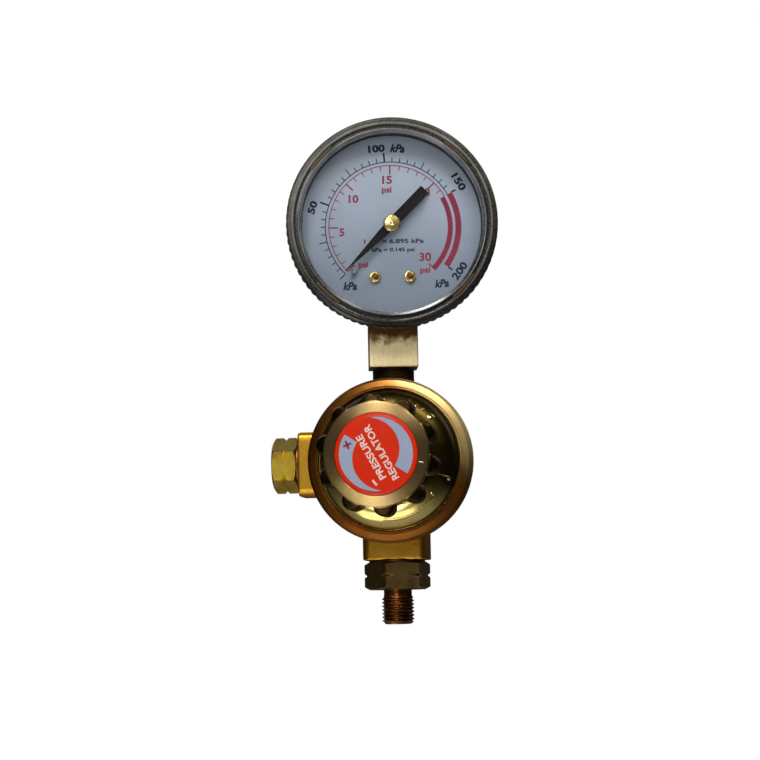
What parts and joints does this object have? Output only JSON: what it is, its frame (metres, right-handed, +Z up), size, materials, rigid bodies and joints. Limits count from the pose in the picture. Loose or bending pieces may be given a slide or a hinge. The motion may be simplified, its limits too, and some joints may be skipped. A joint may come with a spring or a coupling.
{
  "type": "gas regulator",
  "caption": "Small low-pressure fuel gas regulator with a lobed front knob, a round delivery gauge on top, a side inlet and a threaded bottom outlet.",
  "frame": {"origin": "centre of the inlet fitting's mouth, on the inlet's axis", "axes": "+Z up, along the outlet and the gauge stem; -Y is the front, with the dial and the knob; -X points out of the inlet"},
  "size_m": [0.0689, 0.0642, 0.148],
  "materials": {
    "forged_brass": "forged, tarnished",
    "fitting_brass": "machined, tarnished",
    "ring_brass": "turned, coppery patina",
    "bonnet_brass": "polished",
    "knob_brass": "brushed",
    "stem_brass": "drawn bar, dull",
    "bright_brass": "machined",
    "copper": "soft washer copper",
    "bronze": "drawn or sintered",
    "steel": "machined",
    "black_rubber": "matte",
    "nylon": "matte",
    "label_red": "printed, satin",
    "case_black": "moulded",
    "lens_clear": "clear moulding, slightly smoky",
    "dial_print": "printed matt paint",
    "pointer_black": "matt"
  },
  "bodies": {
    "regulator": {"regulator_body": "forged_brass", "inlet_fitting": "fitting_brass", "inlet_washer": "copper", "inlet_filter": "bronze", "outlet_fitting": "fitting_brass", "outlet_washer": "copper", "valve_nozzle": "bright_brass", "valve_spring": "steel", "rear_cap": "fitting_brass", "rear_cap_seal": "copper", "diaphragm": "black_rubber", "slip_ring": "nylon", "main_spring": "steel", "bonnet": "bonnet_brass", "bonnet_ring": "ring_brass", "gauge_washer": "copper", "gauge_stem": "stem_brass", "gauge_restrictor": "steel", "gauge_case": "case_black", "case_screws": "steel", "blowout_plug": "black_rubber", "lens_gasket": "black_rubber", "gauge_lens": "lens_clear", "dial": "dial_print", "dial_screws": "bright_brass", "stop_pin": "steel", "bourdon_tube": "bronze", "movement_back_plate": "bright_brass", "movement_front_plate": "bright_brass", "movement_pillars": "bright_brass", "movement_screws": "steel", "hairspring": "bronze"},
    "screw_carriage": {"spring_button": "steel", "thrust_ball": "steel"},
    "knob": {"knob": "knob_brass", "knob_screw": "steel", "knob_label": "label_red", "adjusting_screw": "bright_brass"},
    "diaphragm_stack": {"diaphragm_plate": "steel", "diaphragm_pusher": "bright_brass"},
    "valve": {"valve_poppet": "steel", "valve_seat": "black_rubber"},
    "pointer": {"pointer": "pointer_black", "pointer_cap": "bright_brass", "pinion_arbor": "bright_brass"},
    "sector": {"sector_gear": "bright_brass", "sector_arbor": "steel"},
    "link": {"tip_link": "steel"},
    "tube_tip": {"tube_tip": "steel"}
  },
  "joints": [
    {"name": "screw_feed", "type": "slide", "parent": "regulator", "child": "screw_carriage", "axis": [0, 1, 0], "range_m": [0, 0.004], "deforming": ["main_spring"]},
    {"name": "knob_turn", "type": "hinge", "parent": "screw_carriage", "child": "knob", "pos_m": [0.0359, 0, 0], "axis": [0, 1, 0], "range_deg": [0, 1440]},
    {"name": "diaphragm_move", "type": "slide", "parent": "regulator", "child": "diaphragm_stack", "axis": [0, 1, 0], "range_m": [0, 0.0008], "deforming": ["diaphragm"]},
    {"name": "valve_lift", "type": "slide", "parent": "regulator", "child": "valve", "axis": [0, 1, 0], "range_m": [0, 0.0008], "deforming": ["valve_spring"]},
    {"name": "sector_swing", "type": "hinge", "parent": "regulator", "child": "sector", "pos_m": [0.0359, 0, 0.0595], "axis": [0.1564, -0.9877, 0], "range_deg": [0, 30]},
    {"name": "pointer_spin", "type": "hinge", "parent": "regulator", "child": "pointer", "pos_m": [0.0359, 0, 0.0695], "axis": [-0.1564, 0.9877, 0], "range_deg": [0, 270], "deforming": ["hairspring"]},
    {"name": "link_swing", "type": "hinge", "parent": "sector", "child": "link", "pos_m": [0.04372, 0.00124, 0.05738], "axis": [0.1564, -0.9877, 0], "range_deg": [-30, 0]},
    {"name": "tip_lift", "type": "slide", "parent": "regulator", "child": "tube_tip", "axis": [0, 0, 1], "range_m": [0, 0.00425], "deforming": ["bourdon_tube"]}
  ],
  "couplings": [
    {"joint": "screw_feed", "follows": "knob_turn", "m_per_rad": 0.00015915},
    {"joint": "valve_lift", "follows": "diaphragm_move", "ratio": 1},
    {"joint": "pointer_spin", "follows": "sector_swing", "ratio": 9},
    {"joint": "link_swing", "follows": "sector_swing", "ratio": -1},
    {"joint": "tip_lift", "follows": "sector_swing", "m_per_rad": 0.0081066}
  ]
}
